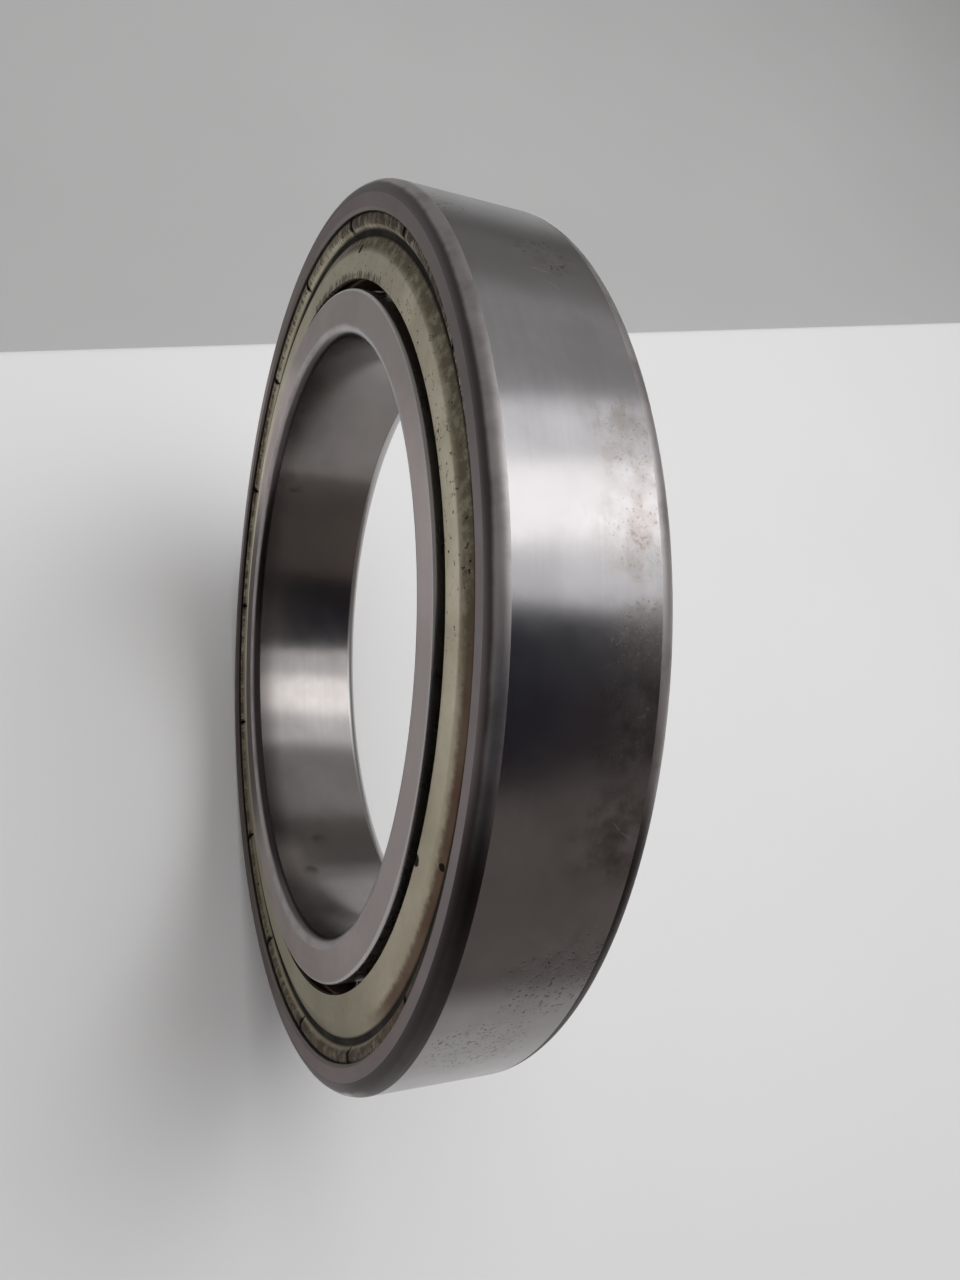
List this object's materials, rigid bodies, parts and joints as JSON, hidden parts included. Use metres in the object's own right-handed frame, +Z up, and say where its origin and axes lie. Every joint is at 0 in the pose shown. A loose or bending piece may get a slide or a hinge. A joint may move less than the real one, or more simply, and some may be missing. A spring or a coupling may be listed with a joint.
{
  "type": "angular contact ball bearing",
  "caption": "Shielded single-row angular contact ball bearing: inner ring turns in the outer ring on balls in a window cage, thin metal shield at each side.",
  "frame": {"origin": "centre of the bearing, on its axis midway between its two faces", "axes": "+Y along the bearing's axis from the front face to the back face, +Z up when the bearing stands on its rim, +X across"},
  "size_m": [0.08, 0.013, 0.08],
  "materials": {
    "ring_steel": "satin, ground",
    "plated_shield": "dull zinc plate on pressed sheet",
    "cage_phenolic": "machined fabric laminate",
    "ball_steel": "lapped, mirror bright"
  },
  "bodies": {
    "outer_race": {"outer_ring": "ring_steel", "front_shield": "plated_shield", "rear_shield": "plated_shield"},
    "inner_race": {"inner_ring": "ring_steel"},
    "ball_cage": {"cage": "cage_phenolic"},
    "ball_01_roller": {"ball_01": "ball_steel"},
    "ball_02_roller": {"ball_02": "ball_steel"},
    "ball_03_roller": {"ball_03": "ball_steel"},
    "ball_04_roller": {"ball_04": "ball_steel"},
    "ball_05_roller": {"ball_05": "ball_steel"},
    "ball_06_roller": {"ball_06": "ball_steel"},
    "ball_07_roller": {"ball_07": "ball_steel"},
    "ball_08_roller": {"ball_08": "ball_steel"},
    "ball_09_roller": {"ball_09": "ball_steel"},
    "ball_10_roller": {"ball_10": "ball_steel"},
    "ball_11_roller": {"ball_11": "ball_steel"},
    "ball_12_roller": {"ball_12": "ball_steel"},
    "ball_13_roller": {"ball_13": "ball_steel"},
    "ball_14_roller": {"ball_14": "ball_steel"},
    "ball_15_roller": {"ball_15": "ball_steel"},
    "ball_16_roller": {"ball_16": "ball_steel"},
    "ball_17_roller": {"ball_17": "ball_steel"},
    "ball_18_roller": {"ball_18": "ball_steel"},
    "ball_19_roller": {"ball_19": "ball_steel"},
    "ball_20_roller": {"ball_20": "ball_steel"},
    "ball_21_roller": {"ball_21": "ball_steel"},
    "ball_22_roller": {"ball_22": "ball_steel"}
  },
  "joints": [
    {"name": "inner_ring_spin", "type": "hinge", "parent": "outer_race", "child": "inner_race", "pos_m": [0, 0, 0], "axis": [0, 1, 0], "continuous": true},
    {"name": "cage_spin", "type": "hinge", "parent": "outer_race", "child": "ball_cage", "pos_m": [0, 0, 0], "axis": [0, 1, 0], "continuous": true},
    {"name": "ball_01_spin", "type": "hinge", "parent": "ball_cage", "child": "ball_01_roller", "pos_m": [0, 0, 0.03375], "axis": [0, 0.9063, -0.4226], "continuous": true},
    {"name": "ball_02_spin", "type": "hinge", "parent": "ball_cage", "child": "ball_02_roller", "pos_m": [-0.00951, 0, 0.03238], "axis": [0.1191, 0.9063, -0.4055], "continuous": true},
    {"name": "ball_03_spin", "type": "hinge", "parent": "ball_cage", "child": "ball_03_roller", "pos_m": [-0.01825, 0, 0.02839], "axis": [0.2285, 0.9063, -0.3555], "continuous": true},
    {"name": "ball_04_spin", "type": "hinge", "parent": "ball_cage", "child": "ball_04_roller", "pos_m": [-0.02551, 0, 0.0221], "axis": [0.3194, 0.9063, -0.2768], "continuous": true},
    {"name": "ball_05_spin", "type": "hinge", "parent": "ball_cage", "child": "ball_05_roller", "pos_m": [-0.0307, 0, 0.01402], "axis": [0.3844, 0.9063, -0.1756], "continuous": true},
    {"name": "ball_06_spin", "type": "hinge", "parent": "ball_cage", "child": "ball_06_roller", "pos_m": [-0.03341, 0, 0.0048], "axis": [0.4183, 0.9063, -0.0601], "continuous": true},
    {"name": "ball_07_spin", "type": "hinge", "parent": "ball_cage", "child": "ball_07_roller", "pos_m": [-0.03341, 0, -0.0048], "axis": [0.4183, 0.9063, 0.0601], "continuous": true},
    {"name": "ball_08_spin", "type": "hinge", "parent": "ball_cage", "child": "ball_08_roller", "pos_m": [-0.0307, 0, -0.01402], "axis": [0.3844, 0.9063, 0.1756], "continuous": true},
    {"name": "ball_09_spin", "type": "hinge", "parent": "ball_cage", "child": "ball_09_roller", "pos_m": [-0.02551, 0, -0.0221], "axis": [0.3194, 0.9063, 0.2768], "continuous": true},
    {"name": "ball_10_spin", "type": "hinge", "parent": "ball_cage", "child": "ball_10_roller", "pos_m": [-0.01825, 0, -0.02839], "axis": [0.2285, 0.9063, 0.3555], "continuous": true},
    {"name": "ball_11_spin", "type": "hinge", "parent": "ball_cage", "child": "ball_11_roller", "pos_m": [-0.00951, 0, -0.03238], "axis": [0.1191, 0.9063, 0.4055], "continuous": true},
    {"name": "ball_12_spin", "type": "hinge", "parent": "ball_cage", "child": "ball_12_roller", "pos_m": [0, 0, -0.03375], "axis": [0, 0.9063, 0.4226], "continuous": true},
    {"name": "ball_13_spin", "type": "hinge", "parent": "ball_cage", "child": "ball_13_roller", "pos_m": [0.00951, 0, -0.03238], "axis": [-0.1191, 0.9063, 0.4055], "continuous": true},
    {"name": "ball_14_spin", "type": "hinge", "parent": "ball_cage", "child": "ball_14_roller", "pos_m": [0.01825, 0, -0.02839], "axis": [-0.2285, 0.9063, 0.3555], "continuous": true},
    {"name": "ball_15_spin", "type": "hinge", "parent": "ball_cage", "child": "ball_15_roller", "pos_m": [0.02551, 0, -0.0221], "axis": [-0.3194, 0.9063, 0.2768], "continuous": true},
    {"name": "ball_16_spin", "type": "hinge", "parent": "ball_cage", "child": "ball_16_roller", "pos_m": [0.0307, 0, -0.01402], "axis": [-0.3844, 0.9063, 0.1756], "continuous": true},
    {"name": "ball_17_spin", "type": "hinge", "parent": "ball_cage", "child": "ball_17_roller", "pos_m": [0.03341, 0, -0.0048], "axis": [-0.4183, 0.9063, 0.0601], "continuous": true},
    {"name": "ball_18_spin", "type": "hinge", "parent": "ball_cage", "child": "ball_18_roller", "pos_m": [0.03341, 0, 0.0048], "axis": [-0.4183, 0.9063, -0.0601], "continuous": true},
    {"name": "ball_19_spin", "type": "hinge", "parent": "ball_cage", "child": "ball_19_roller", "pos_m": [0.0307, 0, 0.01402], "axis": [-0.3844, 0.9063, -0.1756], "continuous": true},
    {"name": "ball_20_spin", "type": "hinge", "parent": "ball_cage", "child": "ball_20_roller", "pos_m": [0.02551, 0, 0.0221], "axis": [-0.3194, 0.9063, -0.2768], "continuous": true},
    {"name": "ball_21_spin", "type": "hinge", "parent": "ball_cage", "child": "ball_21_roller", "pos_m": [0.01825, 0, 0.02839], "axis": [-0.2285, 0.9063, -0.3555], "continuous": true},
    {"name": "ball_22_spin", "type": "hinge", "parent": "ball_cage", "child": "ball_22_roller", "pos_m": [0.00951, 0, 0.03238], "axis": [-0.1191, 0.9063, -0.4055], "continuous": true}
  ],
  "couplings": [
    {"joint": "cage_spin", "follows": "inner_ring_spin", "ratio": 0.45204},
    {"joint": "ball_01_spin", "follows": "inner_ring_spin", "ratio": -4.6808},
    {"joint": "ball_02_spin", "follows": "inner_ring_spin", "ratio": -4.6808},
    {"joint": "ball_03_spin", "follows": "inner_ring_spin", "ratio": -4.6808},
    {"joint": "ball_04_spin", "follows": "inner_ring_spin", "ratio": -4.6808},
    {"joint": "ball_05_spin", "follows": "inner_ring_spin", "ratio": -4.6808},
    {"joint": "ball_06_spin", "follows": "inner_ring_spin", "ratio": -4.6808},
    {"joint": "ball_07_spin", "follows": "inner_ring_spin", "ratio": -4.6808},
    {"joint": "ball_08_spin", "follows": "inner_ring_spin", "ratio": -4.6808},
    {"joint": "ball_09_spin", "follows": "inner_ring_spin", "ratio": -4.6808},
    {"joint": "ball_10_spin", "follows": "inner_ring_spin", "ratio": -4.6808},
    {"joint": "ball_11_spin", "follows": "inner_ring_spin", "ratio": -4.6808},
    {"joint": "ball_12_spin", "follows": "inner_ring_spin", "ratio": -4.6808},
    {"joint": "ball_13_spin", "follows": "inner_ring_spin", "ratio": -4.6808},
    {"joint": "ball_14_spin", "follows": "inner_ring_spin", "ratio": -4.6808},
    {"joint": "ball_15_spin", "follows": "inner_ring_spin", "ratio": -4.6808},
    {"joint": "ball_16_spin", "follows": "inner_ring_spin", "ratio": -4.6808},
    {"joint": "ball_17_spin", "follows": "inner_ring_spin", "ratio": -4.6808},
    {"joint": "ball_18_spin", "follows": "inner_ring_spin", "ratio": -4.6808},
    {"joint": "ball_19_spin", "follows": "inner_ring_spin", "ratio": -4.6808},
    {"joint": "ball_20_spin", "follows": "inner_ring_spin", "ratio": -4.6808},
    {"joint": "ball_21_spin", "follows": "inner_ring_spin", "ratio": -4.6808},
    {"joint": "ball_22_spin", "follows": "inner_ring_spin", "ratio": -4.6808}
  ]
}
